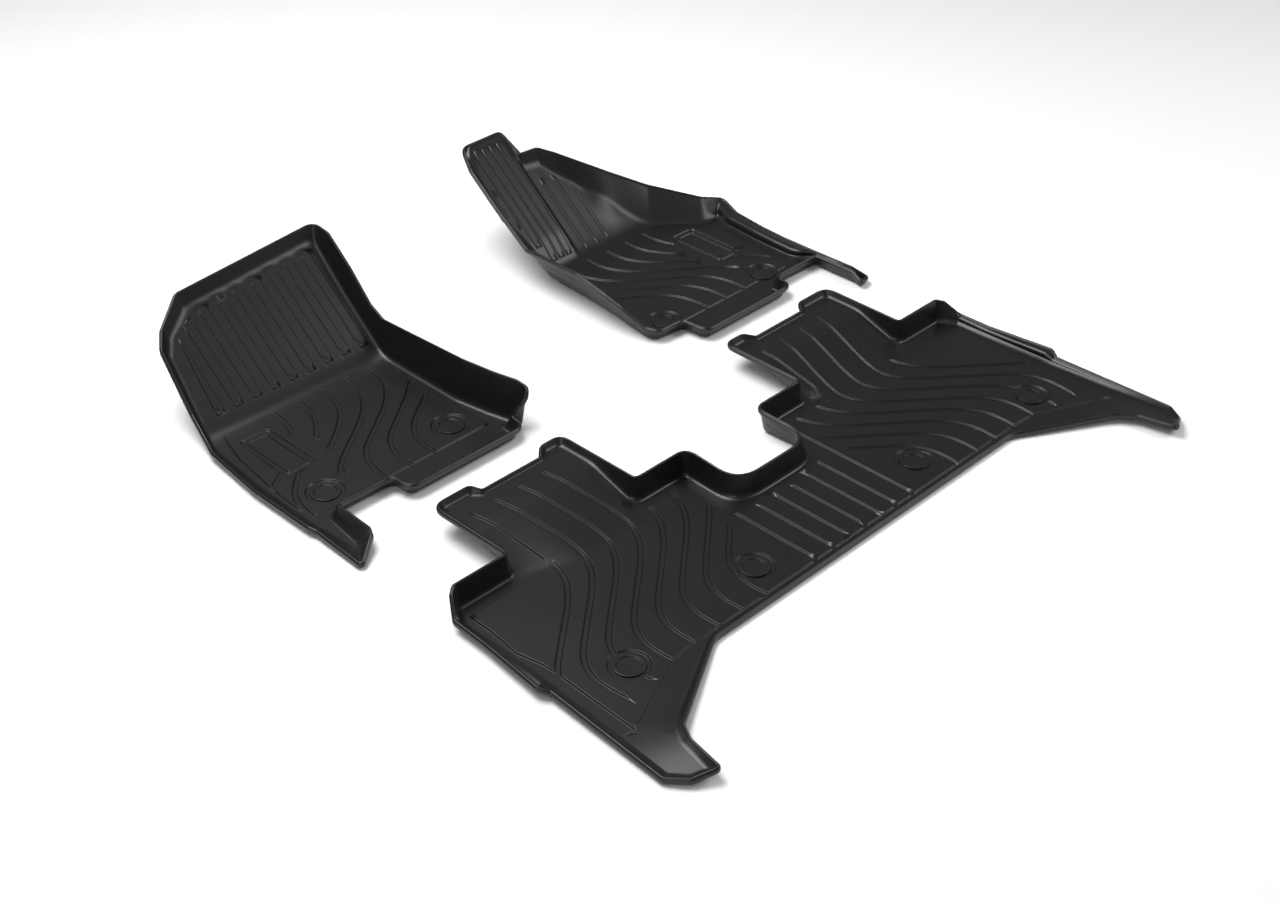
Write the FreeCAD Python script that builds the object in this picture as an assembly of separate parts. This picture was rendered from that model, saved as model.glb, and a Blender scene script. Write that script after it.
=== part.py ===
"""Three-piece moulded floor mat set for a right-hand-drive car.

Millimetres, +Z up.  X = 0 is the centre plane of the car, +Y points to the
front of the car, and the underside of the anti-slip nibs rests on Z = 0.
"""
import math
import os

import FreeCAD
import Part

os.makedirs("parts", exist_ok=True)

# ---- driving dimensions -------------------------------------------------
Y_SHIFT = -89.3          # centres the whole set on the origin, front to back
FIELD_Z = 10.0           # top of the raised tread fields
GROOVE_DEPTH = 2.0       # depth of the drain channels between the fields
UNDERSIDE_Z = 5.0        # underside of the floor sheet
WALL_T = 3.0             # sheet thickness of the upright walls
LIP_W = 3.0              # rolled lip, outward overhang
LIP_H = 8.0              # rolled lip, height of the hem
GROOVE_W = 10.0          # width of a drain channel
SHEET_TOP = FIELD_Z - GROOVE_DEPTH
RAMP_START = 592.0       # where the toe ramp of a front mat begins
RAMP_SLOPE = 0.84        # rise over run of the toe ramp
TONGUE_START = -148.0    # where the rear mat tongues start to climb
TONGUE_FLAT = 0.0        # where they level off
TONGUE_RISE = 34.0       # height gained by the tongues
RAMP_BAR_TOPS = (732, 765, 776, 778, 781, 784, 787, 788, 788)  # front-left ramp bars end here
WALL_LINE_Y = -104     # front wall beside the tongues
TONGUE_X = (232.0, 513.0)  # inner and outer foot of a tongue's side walls

# retention fastener
RECESS_R = 35.6          # round recess in the tread
CAP_R = 28.1             # outside of the raised cap ring
CAP_INNER_R = 21.0       # dished middle of the cap
HOLE_R = 15.0            # hole through the sheet
SPIGOT_R = 14.8
FLANGE_R = 20.0          # flange of the socket under the sheet
BORE_R = 8.0             # bore that snaps over the vehicle stud
BORE_DEPTH = 5.5
SOCKET_Z0 = 0.5
SOCKET_TOP = 6.5

FASTENERS = {
    "front_left_mat": [("front_left_outer", -592.2, 310.8), ("front_left_inner", -299.1, 313.1)],
    "front_right_mat": [("front_right_outer", 540.9, 279.2), ("front_right_inner", 254.9, 289.6)],
    "rear_mat": [("rear_left_outer", -543.8, -400.7), ("rear_left_inner", -217.8, -374.8),
                 ("rear_right_inner", 217.8, -374.8), ("rear_right_outer", 543.8, -400.7)],
}

# Rim lines, counter-clockwise.  Each entry: x, y, height of the rim above the
# tread fields, width of the sloping wall below it, plan corner radius.
REAR_RIGHT_RIM = [
    (405, -449, 2, 6, 60), (592, -558, 10, 12, 30), (612, -592, 13, 18, 20),
    (626, -665, 16, 22, 4), (664, -646, 6, 16, 6), (688, -614, 3, 14, 8),
    (677, -364, 8, 14, 4), (689, -345, 13, 18, 6), (673, -205, 11, 14, 60),
    (673, -136, 12, 14, 18), (654, -108, 38, 12, 16), (640, -97, 43, 7, 10),
    (521, -97, 43, 8, 12), (521, 92, 43, 8, 24), (443, 92, 43, 8, 6),
    (430, 72.5, 37.5, 4, 6), (288, 72.5, 37.5, 4, 8), (268, 92, 43, 8, 14),
    (224, 92, 43, 8, 20), (224, -99, 43, 8, 14), (96, -99, 43, 8, 22),
    (100, -229.5, 38, 10, 56),
]
FRONT_LEFT_RIM = [
    (-494, 243, 20, 8, 12), (-494, 194, 19, 8, 16), (-227, 194, 19, 8, 18),
    (-225, 230, 24, 8, 6), (-202, 212, 58, 10, 8), (-189, 220, 75, 16, 8),
    (-192, 245, 79, 20, 20), (-205, 296, 80, 14, 60), (-216, 370, 80, 15, 80),
    (-216, 485, 74, 15, 0), (-216, 606, 68, 15, 20), (-216, 645, 88, 15, 20),
    (-214, 700, 143, 15, 20), (-210, 770, 196, 14, 20), (-210, 813, 202, 12, 20),
    (-546, 794, 187, 12, 18), (-610, 754, 152, 10, 30), (-631, 728, 130, 9, 20),
    (-638, 685, 93, 9, 20), (-647, 626, 42, 9, 20), (-660, 566, 16, 8, 4),
    (-668, 540, 10, 12, 10), (-674, 475, 8, 14, 60), (-682, 395, 8, 16, 60),
    (-682, 238, 8, 16, 4), (-677, 222, 6, 14, 4), (-680, 100, 3, 20, 3),
    (-634, 132, 20, 20, 10), (-625, 150, 22, 20, 10), (-622, 243, 22, 10, 14),
]
FRONT_RIGHT_RIM = [
    (185, 227, 24, 8, 16), (265, 227, 20, 8, 10), (265, 184, 19, 8, 14),
    (515, 184, 19, 8, 18), (515, 227, 20, 8, 12), (650, 227, 20, 6, 10),
    (652, 122, 20, 6, 6), (646, 97, 10, 5, 3), (668, 104, 8, 5, 4),
    (676, 150, 8, 8, 10), (670, 260, 10, 20, 40), (668, 336, 11, 24, 60),
    (670, 395, 12, 30, 60), (678, 480, 14, 34, 60), (690, 532, 26, 24, 6),
    (645, 556, 36, 44, 20), (558, 636, 69, 58, 40), (492, 682, 106, 40, 60),
    (395, 752, 163, 14, 30), (366, 782, 176, 12, 16), (318, 784, 178, 8, 6),
    (314, 842, 211, 6, 8), (212, 842, 210, 8, 24), (188, 790, 186, 9, 30),
    (175, 700, 137, 9, 40), (168, 600, 80, 10, 30), (168, 470, 76, 14, 60),
    (164, 395, 78, 14, 60), (150, 290, 76, 18, 60), (148, 204, 66, 16, 34),
]

# Drain channel shapes: (y, sideways offset) from the straight front end.
REAR_WAVE = [(-128, 0), (-150, -1), (-178, -13), (-205, -38), (-224, -55), (-270, -112),
             (-294, -139), (-316, -167), (-338, -191), (-370, -209), (-400, -214), (-446, -207)]
FRONT_WAVE = [(583, 0), (546, 3), (520, -2), (500, -14), (476, -32), (464, -42), (420, -98),
              (364, -177), (352, -188), (342, -193), (308, -205), (238, -205)]
REAR_CHANNEL_X = [-450, -393, -336, -278, -220, -162, -105]
FRONT_LEFT_CHANNEL_X = [-510, -453, -396.5, -340, -284, -227, -170]
FRONT_RIGHT_CHANNEL_X = [316, 370, 425, 480, 262, 208, 150]
BADGES = {"front_left_mat": (-578, 470), "front_right_mat": (543, 445)}
BADGE_SIZE = (66, 150)


def vec(x, y, z=0.0):
    return FreeCAD.Vector(x, y + Y_SHIFT, z)


def mix(p, q, share):
    return tuple(u + (v - u) * share for u, v in zip(p, q))


def edge_normal(a, b):
    """Outward direction of one side of a counter-clockwise outline."""
    length = math.hypot(b[0] - a[0], b[1] - a[1])
    return (b[1] - a[1]) / length, -(b[0] - a[0]) / length


def foot_corner(before, corner, after):
    """Where the foot of the wall turns, inside one rim corner."""
    n1 = edge_normal(before, corner)
    n2 = edge_normal(corner, after)
    scale = corner[3] / max(0.35, 1 + n1[0] * n2[0] + n1[1] * n2[1])
    return corner[0] - (n1[0] + n2[0]) * scale, corner[1] - (n1[1] + n2[1]) * scale


def corner_arc(before, corner, after, radius, steps=3):
    """Short curve that rounds one corner of a line of points."""
    len_a = math.dist(before[:2], corner[:2])
    len_b = math.dist(after[:2], corner[:2])
    n1 = edge_normal(before, corner)
    n2 = edge_normal(corner, after)
    turn = math.acos(max(-1.0, min(1.0, n1[0] * n2[0] + n1[1] * n2[1])))
    reach = max(2.0, radius * math.tan(turn / 2))
    start = mix(corner, before, min(0.42, reach / len_a))
    end = mix(corner, after, min(0.42, reach / len_b))
    arc = []
    for step in range(steps + 1):
        t = step / steps
        arc.append(mix(mix(start, corner, t), mix(corner, end, t), t))
    return arc


def wall_stations(corners):
    """Rim point, foot point and outward direction all the way round a mat."""
    count = len(corners)
    feet = []
    for i in range(count):
        feet.append(foot_corner(corners[i - 1], corners[i], corners[(i + 1) % count]))
    rim_line, foot_line = [], []
    for i in range(count):
        j = (i + 1) % count
        n1 = edge_normal(corners[i - 1], corners[i])
        n2 = edge_normal(corners[i], corners[j])
        convex = n1[0] * n2[1] - n1[1] * n2[0] > 0
        radius = max(2.0, corners[i][4])
        foot_radius = max(2.0, radius - corners[i][3]) if convex else radius + corners[i][3]
        rim_line += corner_arc(corners[i - 1], corners[i], corners[j], radius)
        foot_line += corner_arc(feet[i - 1], feet[i], feet[j], foot_radius)
    stations = []
    total = len(rim_line)
    for i in range(total):
        nx, ny = edge_normal(rim_line[i - 1], rim_line[(i + 1) % total])
        stations.append((rim_line[i], foot_line[i], nx, ny))
    return stations


def front_floor(x, y):
    """Height of the tread above the fields of a front mat."""
    return max(0.0, (y - RAMP_START) * RAMP_SLOPE)


def rear_floor(x, y):
    """Height of the tread above the fields of the rear mat."""
    if not TONGUE_X[0] - 1 < abs(x) < TONGUE_X[1] + 1:
        return 0.0
    share = (y - TONGUE_START) / (TONGUE_FLAT - TONGUE_START)
    return TONGUE_RISE * max(0.0, min(1.0, share))


def rim_section(station, floor):
    """Corners of the cross-section of wall and rolled lip at one rim point."""
    (x, y, h, _, _), (fx, fy), nx, ny = station
    foot_z = SHEET_TOP + floor(fx, fy)
    under_z = foot_z - (SHEET_TOP - UNDERSIDE_Z)
    rim_z = FIELD_Z + h
    hem_z = max(1.0, rim_z - LIP_H)
    outer = WALL_T + LIP_W
    return [vec(fx, fy, foot_z), vec(x, y, rim_z), vec(x + nx * outer, y + ny * outer, rim_z),
            vec(x + nx * outer, y + ny * outer, hem_z), vec(x + nx * WALL_T, y + ny * WALL_T, hem_z),
            vec(fx + nx * WALL_T, fy + ny * WALL_T, under_z), vec(fx, fy, under_z)]


def rim_solid(stations, floor):
    """Wall and lip all the way round, as one closed band."""
    sections = [rim_section(station, floor) for station in stations]
    count = len(sections)
    sides = len(sections[0])
    corners = [corner for section in sections for corner in section]
    facets = []
    for i in range(count):
        j = (i + 1) % count
        for k in range(sides):
            m = (k + 1) % sides
            facets.append((i * sides + k, j * sides + k, j * sides + m))
            facets.append((i * sides + k, j * sides + m, i * sides + m))
    shell = Part.Shape()
    shell.makeShapeFromMesh((corners, facets), 0.01)
    solid = Part.Solid(shell)
    if solid.Volume < 0:
        solid.reverse()
    return solid


def foot_face(stations):
    """Flat face bounded by the foot of the walls."""
    points = [vec(fx, fy) for _, (fx, fy), _, _ in stations]
    return Part.Face(Part.makePolygon(points + [points[0]]))


def rectangle(x0, x1, y0, y1):
    return Part.Face(Part.makePolygon([vec(x0, y0), vec(x1, y0), vec(x1, y1), vec(x0, y1), vec(x0, y0)]))


def raised(face, z0, z1):
    """Upright solid over a flat face."""
    lifted = face.copy()
    lifted.translate(FreeCAD.Vector(0, 0, z0))
    return lifted.extrude(FreeCAD.Vector(0, 0, z1 - z0))


def slab(profile, low, high, x0, x1):
    """Sheet whose side view is a line of (y, height) points."""
    top = [vec(x0, y, high + h) for y, h in profile]
    bottom = [vec(x0, y, low + h) for y, h in reversed(profile)]
    face = Part.Face(Part.makePolygon(top + bottom + [top[0]]))
    return face.extrude(FreeCAD.Vector(x1 - x0, 0, 0))


def channel(points):
    """Drain channel: a flat band of constant width along a smooth line."""
    left, right = [], []
    for i, (x, y) in enumerate(points):
        nx, ny = edge_normal(points[max(i - 1, 0)], points[min(i + 1, len(points) - 1)])
        left.append(vec(x + nx * GROOVE_W / 2, y + ny * GROOVE_W / 2))
        right.append(vec(x - nx * GROOVE_W / 2, y - ny * GROOVE_W / 2))
    side_a = Part.BSplineCurve()
    side_a.interpolate(left)
    side_b = Part.BSplineCurve()
    side_b.interpolate(right)
    wire = Part.Wire([side_a.toShape(), Part.makeLine(left[-1], right[-1]),
                      side_b.toShape(), Part.makeLine(right[0], left[0])])
    return Part.Face(wire)


def disc(x, y, radius):
    return Part.Face(Part.Wire(Part.makeCircle(radius, vec(x, y))))


def rounded_rectangle(cx, cy, width, length, radius):
    box = Part.makeBox(width, length, 1, vec(cx - width / 2, cy - length / 2, -1))
    upright = [e for e in box.Edges if abs(e.tangentAt(e.FirstParameter).z) > 0.9]
    return [f for f in box.makeFillet(radius, upright).Faces if f.CenterOfMass.z > -0.01][0]


def fields(mat, area, channels):
    """Raised tread fields with the channels and recesses left open."""
    cutters = [channel(line) for line in channels]
    cutters += [disc(x, y, RECESS_R) for _, x, y in FASTENERS[mat]]
    if mat in BADGES:
        cx, cy = BADGES[mat]
        cutters.append(rounded_rectangle(cx, cy, BADGE_SIZE[0], BADGE_SIZE[1], 12))
    rest = area
    for cutter in cutters:
        rest = rest.cut(cutter)
    return [raised(face, SHEET_TOP, FIELD_Z) for face in rest.Faces]


def badge_frame(mat):
    """Blank raised frame inside the badge recess."""
    cx, cy = BADGES[mat]
    outer = rounded_rectangle(cx, cy, BADGE_SIZE[0] - 16, BADGE_SIZE[1] - 16, 7)
    inner = rounded_rectangle(cx, cy, BADGE_SIZE[0] - 26, BADGE_SIZE[1] - 26, 4)
    return raised(outer.cut(inner), SHEET_TOP, FIELD_Z)


def flat_sheet(mat, area):
    """Level floor sheet with the fastener holes open."""
    open_area = area
    for _, x, y in FASTENERS[mat]:
        open_area = open_area.cut(disc(x, y, HOLE_R))
    return raised(open_area, UNDERSIDE_Z, SHEET_TOP)


def nibs(spots):
    """Anti-slip nibs the sheet stands on."""
    return [Part.makeCone(2.5, 4.0, UNDERSIDE_Z, vec(x, y, 0)) for x, y in spots]


def rear_mat():
    left = [(-x, y, h, d, r) for x, y, h, d, r in reversed(REAR_RIGHT_RIM)]
    stations = wall_stations(REAR_RIGHT_RIM + left)
    area = foot_face(stations)
    solids = [rim_solid(stations, rear_floor)]
    level = area
    climb = [(TONGUE_START, 0), (TONGUE_FLAT, TONGUE_RISE), (100, TONGUE_RISE)]
    wedge = [vec(0, TONGUE_START, UNDERSIDE_Z), vec(0, WALL_LINE_Y, UNDERSIDE_Z),
             vec(0, WALL_LINE_Y, SHEET_TOP + rear_floor(TONGUE_X[0], WALL_LINE_Y))]
    cheek = Part.Face(Part.makePolygon(wedge + wedge[:1])).extrude(FreeCAD.Vector(WALL_T, 0, 0))
    for side in (-1, 1):
        x0, x1 = sorted((side * TONGUE_X[0], side * TONGUE_X[1]))
        tongue = rectangle(x0, x1, TONGUE_START, 100)
        level = level.cut(tongue)
        floor = slab(climb, UNDERSIDE_Z, SHEET_TOP, x0, x1).common(raised(area, 0, 100))
        cheeks = [cheek.translated(FreeCAD.Vector(x, 0, 0)) for x in (x0, x1 - WALL_T)]
        solids.append(floor.multiFuse(cheeks))
    channels = []
    for side in (-1, 1):
        for top in REAR_CHANNEL_X:
            channels.append([(side * (top + dx), y) for y, dx in REAR_WAVE if top + dx < -128])
    for x in (-92, -46, 0, 46, 92):
        channels.append([(x, -262), (x, -350), (x, -446)])
    fields_area = rectangle(-640, 640, -438, TONGUE_START - 2)
    fields_area = fields_area.cut(rectangle(-134, 134, -246, -100))
    tread = fields("rear_mat", fields_area, channels)
    tread += nibs([(x, y) for x in (-620, -470, -330, -160, 160, 330, 470, 620)
                   for y in (-430, -320, -180)])
    tread += nibs([(x, -430) for x in (-60, 60)])
    solids.append(flat_sheet("rear_mat", level).multiFuse(tread))
    return solids


def ramp_bar(x, y0, y1, width, height):
    """Raised bar lying along the toe ramp."""
    return slab([(y0, front_floor(x, y0)), (y1, front_floor(x, y1))], SHEET_TOP, SHEET_TOP + height,
                x - width / 2, x + width / 2)


def front_mat(mat, rim, channel_x, side, field_box, nib_x, bars):
    """One front mat; side is 1 for the left mat and -1 for the right mat."""
    stations = wall_stations(rim)
    area = foot_face(stations)
    ramp = [(RAMP_START, 0), (860, front_floor(0, 860))]
    ramp_sheet = slab(ramp, UNDERSIDE_Z, SHEET_TOP, -720, 720).common(raised(area, 0, 300))
    solids = [rim_solid(stations, front_floor), ramp_sheet.multiFuse([ramp_bar(*bar) for bar in bars])]
    level = area.cut(rectangle(-720, 720, RAMP_START, 900))
    channels = []
    for top in channel_x:
        line = [(top + side * dx, y) for y, dx in FRONT_WAVE]
        channels.append([p for p in line if field_box[0] - 8 < p[0] < field_box[1] + 8])
    tread = fields(mat, rectangle(*field_box), channels)
    tread.append(badge_frame(mat))
    tread += nibs([(x, y) for x in nib_x for y in (270, 360, 450, 540)])
    solids.append(flat_sheet(mat, level).multiFuse(tread))
    return solids


def front_left_mat():
    bars = [(-593.6 + 42.2 * i, 618, top, 20, 3) for i, top in enumerate(RAMP_BAR_TOPS)]
    return front_mat("front_left_mat", FRONT_LEFT_RIM, FRONT_LEFT_CHANNEL_X, 1,
                     (-650, -238, 252, 578), (-620, -530, -420, -340, -260), bars)


def front_right_mat():
    bars = [(x, 604, 744, 8, 3) for x in (335, 366)]
    bars += [(253, 612, 824, 98, 8)]
    bars += [(212 + 20.5 * i, 612, 824, 16, 10) for i in range(5)]
    return front_mat("front_right_mat", FRONT_RIGHT_RIM, FRONT_RIGHT_CHANNEL_X, -1,
                     (192, 600, 240, 576), (210, 310, 400, 480, 575), bars)


def retainer_cap(x, y):
    """Round cap seen from above, with a spigot through the sheet."""
    z0 = FIELD_Z - GROOVE_DEPTH
    cap = Part.makeCylinder(CAP_R, FIELD_Z - z0, vec(x, y, z0))
    cap = cap.cut(Part.makeCylinder(CAP_INNER_R, 5, vec(x, y, z0 + 1.0)))
    return cap.fuse(Part.makeCylinder(SPIGOT_R, z0 - SOCKET_TOP, vec(x, y, SOCKET_TOP)))


def snap_socket(x, y):
    """Socket under the sheet that snaps over the stud in the vehicle floor."""
    body = Part.makeCylinder(FLANGE_R, UNDERSIDE_Z - SOCKET_Z0, vec(x, y, SOCKET_Z0))
    neck = Part.makeCylinder(SPIGOT_R, SOCKET_TOP - SOCKET_Z0, vec(x, y, SOCKET_Z0))
    bore = Part.makeCylinder(BORE_R, BORE_DEPTH, vec(x, y, SOCKET_Z0))
    return body.fuse(neck).cut(bore)


def save(solids, name):
    shape = Part.makeCompound(solids)
    shape.exportStep("parts/" + name + ".step")
    bad = [i for i, s in enumerate(solids) if not s.isValid() or s.Volume <= 0]
    box = shape.BoundBox
    print(name, len(shape.Solids), bad, [round(v, 1) for v in (
        box.XMin, box.YMin, box.ZMin, box.XMax, box.YMax, box.ZMax)])


save(rear_mat(), "rear_mat")
save(front_left_mat(), "front_left_mat")
save(front_right_mat(), "front_right_mat")
for stations in FASTENERS.values():
    for place, px, py in stations:
        save([retainer_cap(px, py)], "retainer_cap_" + place)
        save([snap_socket(px, py)], "snap_socket_" + place)
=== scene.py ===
"""Looks of a three-piece moulded floor mat set, built in millimetres and scaled to metres."""
import math

import bmesh
import bpy
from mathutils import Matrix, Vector
from mathutils.geometry import delaunay_2d_cdt


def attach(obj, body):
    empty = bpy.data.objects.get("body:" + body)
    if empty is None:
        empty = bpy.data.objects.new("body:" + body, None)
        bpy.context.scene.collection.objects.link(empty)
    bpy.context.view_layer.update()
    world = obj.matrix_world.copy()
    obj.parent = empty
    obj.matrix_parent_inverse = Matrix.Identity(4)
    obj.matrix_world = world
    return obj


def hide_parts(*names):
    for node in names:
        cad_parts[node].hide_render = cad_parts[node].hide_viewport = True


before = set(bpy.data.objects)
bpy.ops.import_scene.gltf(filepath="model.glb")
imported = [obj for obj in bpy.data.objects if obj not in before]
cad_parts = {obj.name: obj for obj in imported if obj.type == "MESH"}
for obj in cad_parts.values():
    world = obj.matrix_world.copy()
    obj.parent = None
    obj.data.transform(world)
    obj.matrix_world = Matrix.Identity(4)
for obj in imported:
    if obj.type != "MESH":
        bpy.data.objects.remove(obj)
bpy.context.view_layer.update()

Y_SHIFT = -89.3          # the set is centred on the origin, front to back
FIELD_Z = 10.0           # top of the tread fields
DEPTH = 3.0              # depth of the drain channels
SHEET = 3.0              # sheet thickness
WALL = 3.0               # how far the outer face of a wall stands off its foot
HEM = 8.0                # depth of the turned-down edge under a rim
EDGE_W = 3.0             # width of the rounded channel edges
EDGE_STEPS = (-1.8, -1.0, 0.0, 1.0, 1.8)     # mesh lines along a rounded edge, from its middle
CHANNEL_W = 9.0          # width of a drain channel
RECESS_R = 35.6          # round recess about a retainer
BADGE_BOXES = ((33, 75, 12), (25, 67, 8), (19.5, 61.5, 5))   # half width, half length, corner radius
RAMP_START, RAMP_SLOPE = 592.0, 0.84     # foot of the toe ramps, rise per mm
TONGUE_RISE = 34.5       # height of the front end of a rear tongue

# x, y, rim height, width of the slope below the rim, plan radius, shoulder height
REAR_RIM = [
    (405, -449, 2, 6, 60, 0), (592, -558, 10, 10, 40, 0), (612, -592, 13, 9, 30, 0),
    (626, -665, 16, 9, 4, 0), (664, -646, 6, 9, 6, 0), (688, -614, 3, 10, 8, 0),
    (677, -364, 8, 14, 4, 1), (689, -345, 13, 26, 6, 5), (675, -205, 11, 17, 60, 1.5),
    (673, -136, 12, 14, 18, 2), (654, -108, 38, 12, 16, 0), (640, -97, 43, 7, 10, 0),
    (521, -97, 43, 7, 12, 0), (521, 92, 43, 8, 24, 0), (443, 92, 43, 8, 14, 0),
    (430, 72.5, 37.5, 4, 12, 0), (288, 72.5, 37.5, 4, 14, 0), (268, 92, 43, 8, 18, 0),
    (224, 92, 43, 8, 20, 0), (224, -99, 43, 8, 14, 0), (96, -99, 43, 8, 22, 0),
    (100, -229.5, 38, 10, 56, 0),
]
FRONT_LEFT_RIM = [
    (-494, 243, 20, 8, 20, 0), (-494, 194, 19, 8, 20, 0), (-227, 194, 19, 8, 22, 0),
    (-225, 230, 24, 8, 6, 0), (-202, 212, 58, 10, 12, 0), (-189, 220, 75, 13, 14, 0),
    (-192, 245, 79, 15, 20, 0), (-205, 296, 80, 14, 60, 0), (-216, 370, 80, 15, 80, 0),
    (-216, 485, 74, 15, 20, 0), (-216, 606, 68, 15, 20, 0), (-216, 645, 88, 15, 20, 0),
    (-214, 700, 143, 15, 20, 0), (-210, 770, 196, 14, 20, 0), (-210, 813, 202, 12, 20, 0),
    (-546, 794, 187, 12, 18, 0), (-610, 754, 152, 10, 30, 0), (-631, 728, 130, 9, 20, 0),
    (-638, 685, 93, 9, 20, 0), (-647, 626, 42, 9, 20, 0), (-660, 566, 16, 8, 4, 0),
    (-668, 540, 10, 12, 10, 0), (-674, 475, 8, 14, 60, 0), (-682, 395, 8, 16, 60, 0),
    (-682, 238, 8, 16, 4, 0), (-677, 222, 6, 14, 4, 0), (-680, 100, 3, 20, 3, 0),
    (-634, 132, 20, 20, 10, 0), (-625, 150, 22, 20, 10, 0), (-622, 243, 22, 10, 14, 0),
]
FRONT_RIGHT_RIM = [
    (259, 246, 20, 6, 14, 0), (265, 184, 19, 8, 20, 0),
    (515, 184, 19, 8, 22, 0), (515, 227, 20, 8, 20, 0), (650, 227, 20, 4, 10, 0),
    (652, 122, 20, 3, 6, 0), (646, 97, 10, 3, 3, 0), (668, 104, 8, 3, 4, 0),
    (676, 150, 8, 7, 10, 0), (672, 240, 9, 7, 6, 3), (670, 274, 10, 40, 20, 12), (668, 336, 11, 40, 60, 13),
    (670, 395, 12, 40, 60, 14), (678, 480, 14, 40, 60, 12), (690, 532, 26, 30, 14, 2),
    (645, 556, 36, 44, 24, 0), (558, 636, 69, 58, 40, 0), (492, 682, 106, 40, 60, 0),
    (395, 752, 163, 14, 30, 0), (366, 782, 176, 12, 16, 0), (318, 784, 178, 8, 6, 0),
    (314, 842, 211, 6, 8, 0), (212, 842, 210, 8, 24, 0), (188, 790, 186, 9, 30, 0),
    (175, 700, 137, 12, 40, 0), (167, 600, 80, 52, 30, 0), (167, 520, 80, 50, 60, 0),
    (167, 450, 80, 46, 60, 0), (166, 370, 66, 39, 60, 0), (172, 325, 50, 26, 40, 0),
    (180, 297, 34, 14, 30, 0), (184, 272, 21, 8, 20, 0), (194, 249, 20, 8, 14, 0),
]
REAR_WAVE = [(-128, 0), (-150, -1), (-178, -13), (-205, -38), (-224, -55), (-270, -112),
             (-294, -139), (-316, -167), (-338, -191), (-370, -209), (-400, -214), (-448, -207)]
FRONT_WAVE = [(585, 0), (546, 3), (520, -2), (500, -14), (476, -32), (464, -42), (420, -98),
              (364, -177), (352, -188), (342, -193), (308, -205), (236, -205)]
NIB_REACH, NIB_FOOT = 2.5, 0.4      # radius and level of the tip of an anti-slip nib
NIBS = {
    "rear": [(side * x, y) for side in (-1, 1) for x in (160, 330, 470, 620) for y in (-430, -320, -180)]
    + [(-60, -430), (60, -430)],
    "front_left": [(x, y) for x in (-620, -530, -420, -340, -260) for y in (270, 360, 450, 540)],
    "front_right": [(x, y) for x in (310, 400, 480) for y in (270, 360, 450, 540)]
    + [(244, 360), (244, 450), (250, 540), (575, 270), (575, 360), (575, 450), (562, 536)],
}
STATIONS = {
    "front_left": [(-592.2, 310.8), (-299.1, 313.1)],
    "front_right": [(540.9, 279.2), (254.9, 289.6)],
    "rear": [(-543.8, -400.7), (-217.8, -374.8), (217.8, -374.8), (543.8, -400.7)],
}


def smooth(t):
    """Eased step from 0 to 1."""
    t = max(0.0, min(1.0, t))
    return t * t * (3 - 2 * t)


def mix(p, q, t):
    return tuple(a + (b - a) * t for a, b in zip(p, q))


def normal_of(a, b):
    """Unit normal to the right of the way from a to b."""
    length = math.hypot(b[0] - a[0], b[1] - a[1]) or 1.0
    return (b[1] - a[1]) / length, -(b[0] - a[0]) / length


# ---- height of the sheet ---------------------------------------------------
def front_floor(x, y):
    """Toe ramp with a soft crease where it leaves the floor."""
    t = y - RAMP_START
    return RAMP_SLOPE * 0.5 * (t + math.sqrt(t * t + 260.0))


def driver_floor(x, y):
    """The driver's ramp carries a raised footrest strip along the tunnel."""
    rest = smooth((318 - x) / 14) * smooth((y - 585) / 60)
    hump = 9 * math.exp(-((x - 452) / 30) ** 2 - ((y - 668) / 34) ** 2)
    return front_floor(x, y) + 16 * rest + hump


def wing_rise(ax, y):
    """Tail of the rear mat: a plane that climbs towards the rolled inner edge."""
    if y > -500 or ax < 560:
        return 0.0
    return 13 * smooth((-480 - y) / 140) * max(0.0, min(1.0, (690 - ax) / 80))


def rear_floor(x, y):
    ax = abs(x)
    if y < -500:
        return wing_rise(ax, y)
    start = -150 + 42 * (smooth((ax - 400) / 115) + smooth((264 - ax) / 30))
    if not 218 < ax < 528:
        return 0.0
    t = (y - start) / (2 - start)
    soft = 0.5 * (t + math.sqrt(t * t + 0.004))
    return TONGUE_RISE * (soft if soft < 0.9 else 0.9 + 0.1 * math.tanh((soft - 0.9) / 0.1))


# ---- outline rings ---------------------------------------------------------
def inset_corner(before, corner, after, depth):
    n1, n2 = normal_of(before, corner), normal_of(corner, after)
    scale = depth / max(0.35, 1 + n1[0] * n2[0] + n1[1] * n2[1])
    return corner[0] - (n1[0] + n2[0]) * scale, corner[1] - (n1[1] + n2[1]) * scale


def corner_arc(before, corner, after, radius, steps):
    n1, n2 = normal_of(before, corner), normal_of(corner, after)
    turn = math.acos(max(-1.0, min(1.0, n1[0] * n2[0] + n1[1] * n2[1])))
    reach = max(2.0, radius * math.tan(turn / 2))
    len_a = math.hypot(before[0] - corner[0], before[1] - corner[1])
    len_b = math.hypot(after[0] - corner[0], after[1] - corner[1])
    start = mix(corner, before, min(0.42, reach / len_a))
    end = mix(corner, after, min(0.42, reach / len_b))
    return [mix(mix(start, corner, s / steps), mix(corner, end, s / steps), s / steps)
            for s in range(steps + 1)]


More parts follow.
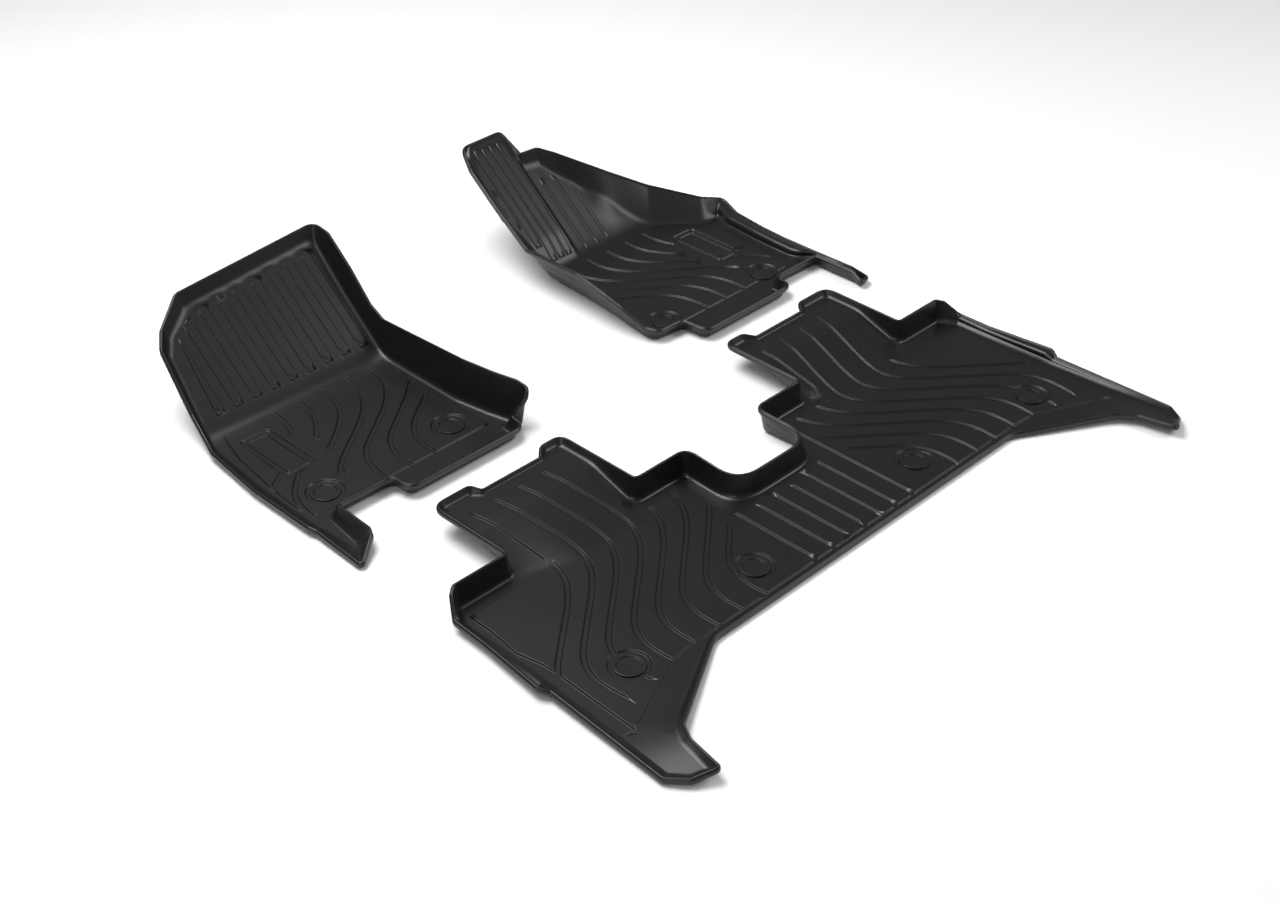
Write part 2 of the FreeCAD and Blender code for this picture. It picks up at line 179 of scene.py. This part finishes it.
def ring(corners, inset_by, steps=8, span=14.0):
    """Rounded line set in from the rim; every ring has the same number of points."""
    n = len(corners)
    feet = []
    for i, corner in enumerate(corners):
        depth = inset_by(corner)
        feet.append(inset_corner(corners[i - 1], corner, corners[(i + 1) % n], depth) + corner[2:])
    line = []
    for i, corner in enumerate(corners):
        j = (i + 1) % n
        n1, n2 = normal_of(corners[i - 1], corner), normal_of(corner, corners[j])
        convex = n1[0] * n2[1] - n1[1] * n2[0] > 0
        depth = inset_by(corner)
        radius = max(2.0, corner[4] - depth) if convex else corner[4] + depth
        arc = corner_arc(feet[i - 1], feet[i], feet[j], radius, steps)
        if line:
            gap = math.hypot(corners[i][0] - corners[i - 1][0], corners[i][1] - corners[i - 1][1])
            pieces = max(1, int(gap / span))
            last = line[-1]
            line += [mix(last, arc[0], k / pieces) for k in range(1, pieces)]
        line += arc
    gap = math.hypot(corners[0][0] - corners[-1][0], corners[0][1] - corners[-1][1])
    pieces = max(1, int(gap / span))
    last = line[-1]
    line += [mix(last, line[0], k / pieces) for k in range(1, pieces)]
    return line


def meeting(p, q, r, s):
    """Point where the lines p-q and r-s cross, if they do."""
    det = (q[0] - p[0]) * (s[1] - r[1]) - (q[1] - p[1]) * (s[0] - r[0])
    if abs(det) < 1e-9:
        return None
    t = ((r[0] - p[0]) * (s[1] - r[1]) - (r[1] - p[1]) * (s[0] - r[0])) / det
    u = ((r[0] - p[0]) * (q[1] - p[1]) - (r[1] - p[1]) * (q[0] - p[0])) / det
    return mix(p, q, t) if 0 < t < 1 and 0 < u < 1 else None


def untangle(line, reach=40):
    """Pulls each small loop of a ring into the point where it crosses itself."""
    n = len(line)
    for i in range(n):
        for j in range(i + 2, i + reach):
            spot = meeting(line[i], line[(i + 1) % n], line[j % n], line[(j + 1) % n])
            if spot:
                for k in range(i + 1, j + 1):
                    line[k % n] = spot
    return line


# ---- relief ----------------------------------------------------------------
class Relief:
    """Channels, round recesses and badge recess cut into the raised fields."""

    def __init__(self, field, lines, discs, badge, bars=(), folds=()):
        self.field, self.lines, self.discs, self.badge = field, lines, discs, badge
        self.bars, self.folds = bars, folds
        self.cells = {}
        for line in lines:
            for a, b in zip(line, line[1:]):
                low = [int((min(a[k], b[k]) - 9) // 20) for k in (0, 1)]
                high = [int((max(a[k], b[k]) + 9) // 20) for k in (0, 1)]
                for i in range(low[0], high[0] + 1):
                    for j in range(low[1], high[1] + 1):
                        self.cells.setdefault((i, j), []).append((*a, *b))

    def inside(self, x, y):
        """Signed distance to the field outline, positive inside."""
        best, odd = 1e9, False
        pts = self.field
        for i in range(len(pts)):
            (ax, ay), (bx, by) = pts[i - 1], pts[i]
            best = min(best, segment_gap(x, y, ax, ay, bx, by))
            if (ay > y) != (by > y) and x < (bx - ax) * (y - ay) / (by - ay) + ax:
                odd = not odd
        return best if odd else -best

    def bar_height(self, x, y):
        """Ribs of the toe ramp, each a convex outline with its own rise."""
        top = -DEPTH
        for outline, rise in self.bars:
            gap = min((x - ax) * (ay - by) + (y - ay) * (bx - ax)
                      for ax, ay, bx, by in unit_edges(outline))
            top = max(top, -DEPTH + rise * smooth(gap / EDGE_W + 0.5))
        return top

    def height(self, x, y):
        if y > RAMP_START - 8:
            return self.bar_height(x, y)
        gap = self.inside(x, y)
        for segment in self.cells.get((int(x // 20), int(y // 20)), ()):
            gap = min(gap, segment_gap(x, y, *segment) - CHANNEL_W / 2)
        for cx, cy in self.discs:
            gap = min(gap, math.hypot(x - cx, y - cy) - RECESS_R)
        frame_gap = -9.0
        if self.badge:
            recess, outer, inner = BADGE_BOXES
            gap = min(gap, -box_gap(x, y, *self.badge, *recess))
            frame_gap = min(box_gap(x, y, *self.badge, *outer), -box_gap(x, y, *self.badge, *inner))
        gap = max(gap, frame_gap)
        return -DEPTH * (1 - smooth(gap / EDGE_W + 0.5))


def unit_edges(outline):
    """Edges of a counter-clockwise outline, each cut to unit length from its start."""
    for i, (ax, ay) in enumerate(outline):
        bx, by = outline[(i + 1) % len(outline)]
        length = math.hypot(bx - ax, by - ay)
        yield ax, ay, ax + (bx - ax) / length, ay + (by - ay) / length


def segment_gap(x, y, ax, ay, bx, by):
    dx, dy = bx - ax, by - ay
    t = max(0.0, min(1.0, ((x - ax) * dx + (y - ay) * dy) / (dx * dx + dy * dy + 1e-9)))
    return math.hypot(x - ax - t * dx, y - ay - t * dy)


def box_gap(x, y, cx, cy, half_w, half_l, radius):
    """Distance inside a rounded rectangle, positive inside."""
    qx, qy = abs(x - cx) - half_w + radius, abs(y - cy) - half_l + radius
    outside = math.hypot(max(qx, 0), max(qy, 0)) + min(max(qx, qy), 0)
    return radius - outside


def dense(line, step):
    """The same line with points at most about a step apart."""
    out = [line[0]]
    for a, b in zip(line, line[1:]):
        n = max(1, int(math.hypot(b[0] - a[0], b[1] - a[1]) / step))
        out += [mix(a, b, k / n) for k in range(1, n + 1)]
    return out


def soften(points, reach=5, rounds=2):
    """Line through the points with its corners eased."""
    line = dense(points, 5)
    for _ in range(rounds):
        eased = []
        for i in range(len(line)):
            span = min(reach, i, len(line) - 1 - i)
            part = line[i - span:i + span + 1]
            eased.append(tuple(sum(p[axis] for p in part) / len(part) for axis in (0, 1)))
        line = eased
    return line


def offset(line, by, closed=False):
    """Line moved sideways."""
    out = []
    n = len(line)
    for i in range(n):
        a = line[i - 1] if closed or i else line[i]
        b = line[(i + 1) % n] if closed or i < n - 1 else line[i]
        nx, ny = normal_of(a, b)
        out.append((line[i][0] + nx * by, line[i][1] + ny * by))
    return out


def circle(cx, cy, r, n=64):
    return [(cx + r * math.cos(2 * math.pi * k / n), cy + r * math.sin(2 * math.pi * k / n))
            for k in range(n)]


def rounded_box(cx, cy, half_w, half_l, r, n=5):
    pts = []
    for sx, sy, a0 in ((1, 1, 0), (-1, 1, 90), (-1, -1, 180), (1, -1, 270)):
        for k in range(n + 1):
            a = math.radians(a0 + 90 * k / n)
            pts.append((cx + sx * (half_w - r) + r * math.cos(a),
                        cy + sy * (half_l - r) + r * math.sin(a)))
    return pts


# ---- mesh ------------------------------------------------------------------
def floor_mesh(outline, relief, height, spacing, drop, nibs=()):
    """Triangulated sheet inside an outline; drop lowers it for the underside, which carries the nibs."""
    points, edges = [], []

    def inside(p, margin):
        return field_gap(outline, p) > margin

    def add(line, closed, margin=1.0):
        run = []
        for p in line:
            if inside(p, margin):
                points.append(Vector(p))
                run.append(len(points) - 1)
            else:
                run.append(None)
        pairs = list(zip(run, run[1:])) + ([(run[-1], run[0])] if closed else [])
        edges.extend((a, b) for a, b in pairs if a is not None and b is not None)

    for x, y in outline:
        points.append(Vector((x, y)))
    n = len(outline)
    edges += [(i, (i + 1) % n) for i in range(n)]
    if relief:
        steps = EDGE_STEPS
        for line in relief.lines:
            for side in (-1, 1):
                for s in steps:
                    add(offset(line, side * (CHANNEL_W / 2 + s)), False)
        for cx, cy in relief.discs:
            for s in steps:
                add(circle(cx, cy, RECESS_R + s), True)
        if relief.badge:
            cx, cy = relief.badge
            for wide, long, radius in BADGE_BOXES:
                for s in steps:
                    add(rounded_box(cx, cy, wide + s, long + s, radius + s), True)
        for fold in relief.folds:
            add(dense(fold, 14), False)
        for rib, _ in relief.bars:
            for s in steps:
                add(offset(dense(rib + rib[:1], 12)[:-1], s, True), True)
        for s in steps:
            add(offset(dense(relief.field + relief.field[:1], 12)[:-1], s, True), True)
    for cx, cy in nibs:
        add(circle(cx, cy, 1.6 * NIB_REACH, 16), True)
        add(circle(cx, cy, NIB_REACH, 16), True)
    x0, x1 = min(p[0] for p in outline), max(p[0] for p in outline)
    y0, y1 = min(p[1] for p in outline), max(p[1] for p in outline)
    y = y0
    row = 0
    while y < y1:
        step = spacing(y)
        x = x0 + (row % 2) * step
        while x < x1:
            if inside((x, y), 5.0) and all(math.hypot(x - cx, y - cy) > 7 for cx, cy in nibs):
                points.append(Vector((x, y)))
            x += step * 2
        y += step
        row += 1
    verts, _, faces, _, _, _ = delaunay_2d_cdt(points, edges, [list(range(n))], 1, 1e-4)

    def level(x, y):
        if any(math.hypot(x - cx, y - cy) < 1.2 * NIB_REACH for cx, cy in nibs):
            return NIB_FOOT - FIELD_Z
        return height(x, y) + (relief.height(x, y) if relief else 0) - drop

    out = [(v.x, v.y, FIELD_Z + level(v.x, v.y)) for v in verts]
    normals = []
    if relief:
        e = 0.25
        for v in verts:
            slope_x = (level(v.x + e, v.y) - level(v.x - e, v.y)) / (2 * e)
            slope_y = (level(v.x, v.y + e) - level(v.x, v.y - e)) / (2 * e)
            normals.append(Vector((-slope_x, -slope_y, 1)).normalized())
    return out, [tuple(f) for f in faces], normals


def field_gap(pts, p):
    """Signed distance to an outline, positive inside and exact only up to 5 mm."""
    best, odd = 1e9, False
    x, y = p
    for i in range(len(pts)):
        ax, ay = pts[i - 1]
        bx, by = pts[i]
        if best > 5.0 and abs(ax - x) < best and abs(ay - y) < best:
            best = min(best, segment_gap(x, y, ax, ay, bx, by))
        if (ay > y) != (by > y) and x < (bx - ax) * (y - ay) / (by - ay) + ax:
            odd = not odd
    return best if odd else -best


def section(rim, foot, inner, height, nx, ny, edge_drop):
    """Points across the wall, from the tread up, over the lip and back underneath."""
    x, y, h = rim[0], rim[1], rim[2]
    shoulder = rim[5]
    base = FIELD_Z - DEPTH
    i3 = Vector((inner[0], inner[1], FIELD_Z - edge_drop + height(inner[0], inner[1])))
    f3 = Vector((foot[0], foot[1], base + height(foot[0], foot[1])))
    r3 = Vector((x, y, FIELD_Z + h))
    out = Vector((nx, ny, 0))
    up = Vector((0, 0, 1))
    wall = r3 - f3
    reach = min(10.0, 0.45 * wall.length)
    climb = f3 + wall.normalized() * reach
    rows = [i3]
    for k in range(1, 7):
        t = k / 6
        rows.append(i3 * (1 - t) ** 2 + f3 * 2 * t * (1 - t) + climb * t * t)
    if shoulder > 0.5:
        crest = f3 + (r3 - f3) * 0.42
        crest.z = r3.z + shoulder
        low = f3 + (r3 - f3) * 0.2
        low.z = f3.z + (crest.z - f3.z) * 0.55
        dip = f3 + (r3 - f3) * 0.8
        dip.z = r3.z - 1.0
        chain = [climb, low, crest, dip, r3]
        blend_t = min(1.0, shoulder / 4)
        for k in range(1, 15):
            t = k / 14
            p = bezier(chain, t)
            rows.append((climb * (1 - t) + r3 * t).lerp(p, blend_t))
    else:
        for k in range(1, 15):
            rows.append(climb.lerp(r3, k / 14))
    lip = [(0.3, 0.9), (1.0, 1.6), (2.0, 2.0), (3.0, 1.9), (3.9, 1.4), (4.6, 0.5), (5.2, -0.4),
           (5.8, -0.6), (6.4, -1.2), (6.6, -2.0), (6.6, 1 - HEM), (6.0, -HEM), (4.6, -HEM),
           (4.0, 1 - HEM), (3.4, -3.0)]
    for u, v in lip:
        q = r3 + out * u + up * v
        q.z = max(0.6, q.z)
        rows.append(q)
    under = f3 + out * WALL - up * SHEET
    top = rows[-1]
    rows.append(top.lerp(under, 0.5))
    rows.append(top.lerp(under, 0.93))
    rows.append(under - out * 3)
    rows.append(Vector((inner[0], inner[1], base - SHEET + height(inner[0], inner[1]))))
    return rows


def bezier(chain, t):
    """Bezier curve over a chain of control points."""
    pts = [p.copy() for p in chain]
    while len(pts) > 1:
        pts = [a.lerp(b, t) for a, b in zip(pts, pts[1:])]
    return pts[0]


def mat_object(name, corners, height, relief, spacing, nibs):
    """One moulded mat as a closed, thin-walled mesh."""
    rim = ring(corners, lambda c: 0.0)
    foot = ring(corners, lambda c: c[3])
    inner = untangle(ring(corners, lambda c: c[3] + min(9.0, 2.0 + 0.12 * max(c[2], 20))))
    count = len(rim)
    sections = []
    for i in range(count):
        nx, ny = normal_of(rim[i - 1], rim[(i + 1) % count])
        edge_drop = -relief.height(inner[i][0], inner[i][1])
        sections.append(section(rim[i], foot[i], inner[i], height, nx, ny, edge_drop))
    verts, faces = [], []
    rows = len(sections[0])
    for s in sections:
        verts += [tuple(p) for p in s]
    for i in range(count):
        j = (i + 1) % count
        for k in range(rows - 1):
            faces.append((i * rows + k, j * rows + k, j * rows + k + 1, i * rows + k + 1))
    outline = [(p[0], p[1]) for i, p in enumerate(inner) if p[:2] != inner[i - 1][:2]]
    top_v, top_f, normals = floor_mesh(outline, relief, height, spacing, 0.0)
    low_v, low_f, _ = floor_mesh(outline, None, height, spacing, DEPTH + SHEET, nibs)
    base = len(verts)
    exact = {(round(v[0], 2), round(v[1], 2), round(v[2], 1)): n for v, n in zip(top_v, normals)}
    verts += top_v
    faces += [tuple(base + k for k in f) for f in top_f]
    base = len(verts)
    verts += low_v
    faces += [tuple(base + k for k in reversed(f)) for f in low_f]
    return make_object(name, verts, faces, 0.02, exact)


def make_object(name, verts, faces, merge, exact=None):
    """Mesh object in metres; exact gives known normals by place."""
    mesh = bpy.data.meshes.new(name)
    mesh.from_pydata([(x / 1000, (y + Y_SHIFT) / 1000, z / 1000) for x, y, z in verts], [], faces)
    obj = bpy.data.objects.new(name, mesh)
    bpy.context.scene.collection.objects.link(obj)
    if merge:
        bm = bmesh.new()
        bm.from_mesh(mesh)
        bmesh.ops.remove_doubles(bm, verts=bm.verts, dist=merge / 1000)
        bmesh.ops.recalc_face_normals(bm, faces=bm.faces)
        bm.to_mesh(mesh)
        bm.free()
    mesh.polygons.foreach_set("use_smooth", [True] * len(mesh.polygons))
    mesh.update()
    if exact:
        normals = []
        for v in mesh.vertices:
            key = (round(v.co.x * 1000, 2), round(v.co.y * 1000 - Y_SHIFT, 2), round(v.co.z * 1000, 1))
            normals.append(exact.get(key, v.normal.copy()))
        mesh.normals_split_custom_set_from_vertices(normals)
    else:
        weighted = obj.modifiers.new("weighted", "WEIGHTED_NORMAL")
        weighted.keep_sharp = True
    return obj


def lathe(name, cx, cy, profile, steps=72):
    """Turned piece: profile is a closed line of (radius, z)."""
    verts, faces = [], []
    m = len(profile)
    for i in range(steps):
        a = 2 * math.pi * i / steps
        verts += [(cx + r * math.cos(a), cy + r * math.sin(a), z) for r, z in profile]
    for i in range(steps):
        j = (i + 1) % steps
        for k in range(m - 1):
            faces.append((i * m + k, j * m + k, j * m + k + 1, i * m + k + 1))
    return make_object(name, verts, faces, 0.01)


# ---- materials -------------------------------------------------------------
def rubber(name, colour, roughness, grain, strength):
    """Moulded polymer: fine grain in the bump, broad drift in tint and roughness."""
    mat = bpy.data.materials.new(name)
    mat.use_nodes = True
    nodes, links = mat.node_tree.nodes, mat.node_tree.links
    shader = nodes["Principled BSDF"]
    shader.inputs["Roughness"].default_value = roughness
    shader.inputs["Specular IOR Level"].default_value = 0.42
    coords = nodes.new("ShaderNodeTexCoord")
    fine = nodes.new("ShaderNodeTexNoise")
    fine.inputs["Scale"].default_value = grain
    fine.inputs["Detail"].default_value = 3.0
    broad = nodes.new("ShaderNodeTexNoise")
    broad.inputs["Scale"].default_value = 9.0
    ramp = nodes.new("ShaderNodeMapRange")
    ramp.inputs["To Min"].default_value = roughness - 0.03
    ramp.inputs["To Max"].default_value = roughness + 0.03
    tint = nodes.new("ShaderNodeMix")
    tint.data_type = "RGBA"
    tint.inputs["A"].default_value = (*[c * 0.94 for c in colour], 1)
    tint.inputs["B"].default_value = (*[c * 1.06 for c in colour], 1)
    bump = nodes.new("ShaderNodeBump")
    bump.inputs["Strength"].default_value = strength
    bump.inputs["Distance"].default_value = 0.0002
    for tex in (fine, broad):
        links.new(coords.outputs["Object"], tex.inputs["Vector"])
    links.new(fine.outputs["Fac"], bump.inputs["Height"])
    links.new(broad.outputs["Fac"], ramp.inputs["Value"])
    links.new(broad.outputs["Fac"], tint.inputs["Factor"])
    links.new(tint.outputs["Result"], shader.inputs["Base Color"])
    links.new(ramp.outputs["Result"], shader.inputs["Roughness"])
    links.new(bump.outputs["Normal"], shader.inputs["Normal"])
    return mat


TPE = rubber("black_tpe", (0.006, 0.006, 0.0063), 0.33, 1400.0, 0.05)
CLIP = rubber("clip_plastic", (0.0065, 0.0065, 0.0068), 0.32, 1800.0, 0.05)


# ---- mats ------------------------------------------------------------------
def ramp_spacing(y):
    return 6.0 if 566 < y < 630 else 20.0


def rear_spacing(y):
    return 9.0 if -165 < y < -95 or -20 < y < 50 else 24.0


def wave_lines(wave, tops, side, limits):
    lines = []
    for top in tops:
        line = [(top + side * dx, y) for y, dx in wave]
        line = [p for p in line if limits[0] < p[0] < limits[1]]
        if len(line) > 1:
            lines.append(line)
    return lines


def rear_lines(side):
    lines = []
    tongue = [(47, -36), (7, -28.5), (-27, -22.5), (-80, -9), (-120, -1)]
    for top in (-452.5, -396.5, -339.8, -281.5, -225.2, -167.8, -110.5, -53):
        line = [(top + dx, y) for y, dx in REAR_WAVE if top + dx < -136]
        if top in (-396.5, -339.8, -281.5):
            line = [(top + dx, y) for y, dx in tongue] + line[1:]
        lines.append([(side * -x, y) for x, y in soften(line)])
    return lines


def rear_field():
    half = [(0, -437), (434, -437), (491, -441), (644, -511), (642, -507), (637, -332), (638.5, -302),
            (649, -252), (642, -190), (641, -131), (456, -131), (457, -110), (470, -27), (484, 44),
            (262, 44), (264, -95), (256, -118), (236, -131), (134, -131), (134, -250), (0, -250)]
    return [(x, y) for x, y in half if x >= 0][:-1] + [(-x, y) for x, y in reversed(half[:-1])][:-1]


def build_rear():
    left = [(-x, y, h, d, r, s) for x, y, h, d, r, s in reversed(REAR_RIM)]
    lines = rear_lines(-1) + rear_lines(1)
    for x in (-87, -43.5, 0, 43.5, 87):
        lines.append(dense([(x, -240), (x, -450)], 30))
    lines += [dense([(x, -135), (x, -450)], 30) for x in (-133, 133)]
    relief = Relief(rear_field(), lines, STATIONS["rear"], None)
    return mat_object("rear_mat_visual", REAR_RIM + left, rear_floor, relief, rear_spacing,
                      NIBS["rear"])


def build_front_left():
    field = [(-652, 266), (-246, 266), (-246, 578), (-620, 578), (-640, 502), (-654, 384), (-657, 320)]
    tops = (-509, -452.5, -396, -340, -284, -227.5, -171)
    lines = [soften(l) for l in wave_lines(FRONT_WAVE, tops, 1, (-541, -246))]
    lines += [dense([(-610, 414), (-654, 384)], 10),
              soften([(-590, 390), (-640, 344), (-654, 300), (-653, 268)])]
    tops = (748, 770, 776.5, 778.6, 781.6, 785, 789, 791, 791.4)
    bars = []
    for i, top in enumerate(tops):
        x = -593.6 + 42.2 * i
        left = {0: (x + 8, top), 1: (x - 10, top - 11)}.get(i, (x - 10, top))
        bars.append(([(x - 10, 618), (x + 10, 618), (x + 10, top), left], 3.6))
    relief = Relief(field, lines, STATIONS["front_left"], (-578, 470), bars)
    return mat_object("front_left_mat_visual", FRONT_LEFT_RIM, front_floor, relief, ramp_spacing,
                      NIBS["front_left"])


def build_front_right():
    field = [(604, 262), (606, 330), (600, 400), (590, 500), (566, 578),
             (238, 578), (227, 450), (208, 320), (204, 262)]
    tops = (314, 370, 426, 480, 258, 202, 146)
    lines = [soften(l) for l in wave_lines(FRONT_WAVE, tops, -1, (196, 510))]
    lines += [dense([(572, 395), (601, 374)], 10), soften([(552, 369), (585, 340), (604, 308)])]
    bars = [([(x - 4, 604), (x + 4, 604), (x + 4, 744), (x - 4, 744)], 2.6)
            for x in (340, 372, 404)]
    for i in range(5):
        x = 208 + 20.5 * i
        foot = (672, 632, 606, 606, 606)[i]      # the first two start above the leaning wall
        bars.append(([(x - 8, foot), (x + 8, foot), (x + 8, 818), (x - 8, 818)], 2.2))
    folds = [[(x, 575), (x, 836)] for x in (302, 307, 311, 315, 320)]
    relief = Relief(field, lines, STATIONS["front_right"], (543, 445), bars, folds)
    return mat_object("front_right_mat_visual", FRONT_RIGHT_RIM, driver_floor, relief, ramp_spacing,
                      NIBS["front_right"])


def build_clips():
    z0 = FIELD_Z - DEPTH
    cap = [(0.0, z0 + 0.6), (20.2, z0 + 0.6), (20.9, z0 + 0.8), (21.4, FIELD_Z - 0.5),
           (22.0, FIELD_Z), (27.0, FIELD_Z), (27.8, FIELD_Z - 0.4), (28.2, z0 + 0.3),
           (28.2, z0 - 0.4), (14.6, z0 - 0.4), (14.6, 6.6), (0.0, 6.6)]
    socket = [(0.0, 5.9), (7.6, 5.9), (8.0, 5.6), (8.0, 1.0), (8.5, 0.5), (19.2, 0.5), (20.0, 1.2),
              (20.0, 4.4), (19.4, 5.0), (14.8, 5.0), (14.8, 6.4), (0.0, 6.4)]
    for body, spots in STATIONS.items():
        for k, (x, y) in enumerate(spots):
            names = {"front_left": ("outer", "inner"), "front_right": ("outer", "inner"),
                     "rear": ("left_outer", "left_inner", "right_inner", "right_outer")}[body]
            place = body + "_" + names[k]
            for kind, profile in (("retainer_cap_", cap), ("snap_socket_", socket)):
                piece = lathe(kind + place + "_visual", x, y, profile)
                piece.data.materials.append(CLIP)
                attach(piece, body + "_body")
                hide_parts(kind + place)


BUILDERS = {"rear": build_rear, "front_left": build_front_left, "front_right": build_front_right}
for body, build in BUILDERS.items():
    piece = build()
    piece.data.materials.append(TPE)
    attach(piece, body + "_body")
    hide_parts(body + "_mat")
build_clips()


# ---- stage, light, camera --------------------------------------------------
def stage_floor():
    mesh = bpy.data.meshes.new("studio_floor")
    mesh.from_pydata([(-9, -9, 0), (9, -9, 0), (9, 9, 0), (-9, 9, 0)], [], [(0, 1, 2, 3)])
    floor = bpy.data.objects.new("studio_floor", mesh)
    bpy.context.scene.collection.objects.link(floor)
    mat = bpy.data.materials.new("studio_floor")
    mat.use_nodes = True
    shader = mat.node_tree.nodes["Principled BSDF"]
    shader.inputs["Base Color"].default_value = (0.9, 0.9, 0.9, 1)
    shader.inputs["Roughness"].default_value = 0.9
    mesh.materials.append(mat)


def area_light(name, spot, target, size, power):
    light = bpy.data.lights.new(name, "AREA")
    light.shape = "RECTANGLE"
    light.size, light.size_y = size
    light.energy = power
    obj = bpy.data.objects.new(name, light)
    obj.location = spot
    obj.rotation_euler = (Vector(target) - Vector(spot)).to_track_quat("-Z", "Y").to_euler()
    bpy.context.scene.collection.objects.link(obj)


stage_floor()
area_light("overhead_softbox", (-0.7, 1.1, 3.0), (0, 0, 0), (2.4, 1.8), 128)
area_light("left_fill", (-3.0, -1.5, 2.6), (0, 0, 0), (2.0, 2.0), 24)
area_light("right_fill", (2.6, -2.0, 2.8), (0, 0.2, 0), (1.8, 1.8), 56)
world = bpy.data.worlds.new("studio")
world.use_nodes = True
world.node_tree.nodes["Background"].inputs["Color"].default_value = (1, 1, 1, 1)
world.node_tree.nodes["Background"].inputs["Strength"].default_value = 0.23
bpy.context.scene.world = world
bpy.context.scene.view_settings.view_transform = "Standard"

camera_data = bpy.data.cameras.new("camera")
camera_data.lens = 53.84
camera_data.sensor_width = 36.0
camera = bpy.data.objects.new("camera", camera_data)
camera.location = (-2.16014, -2.1023, 2.00969)
camera.rotation_euler = (math.radians(90 - 34.851), 0, math.radians(-45.494))
bpy.context.scene.collection.objects.link(camera)
bpy.context.scene.camera = camera
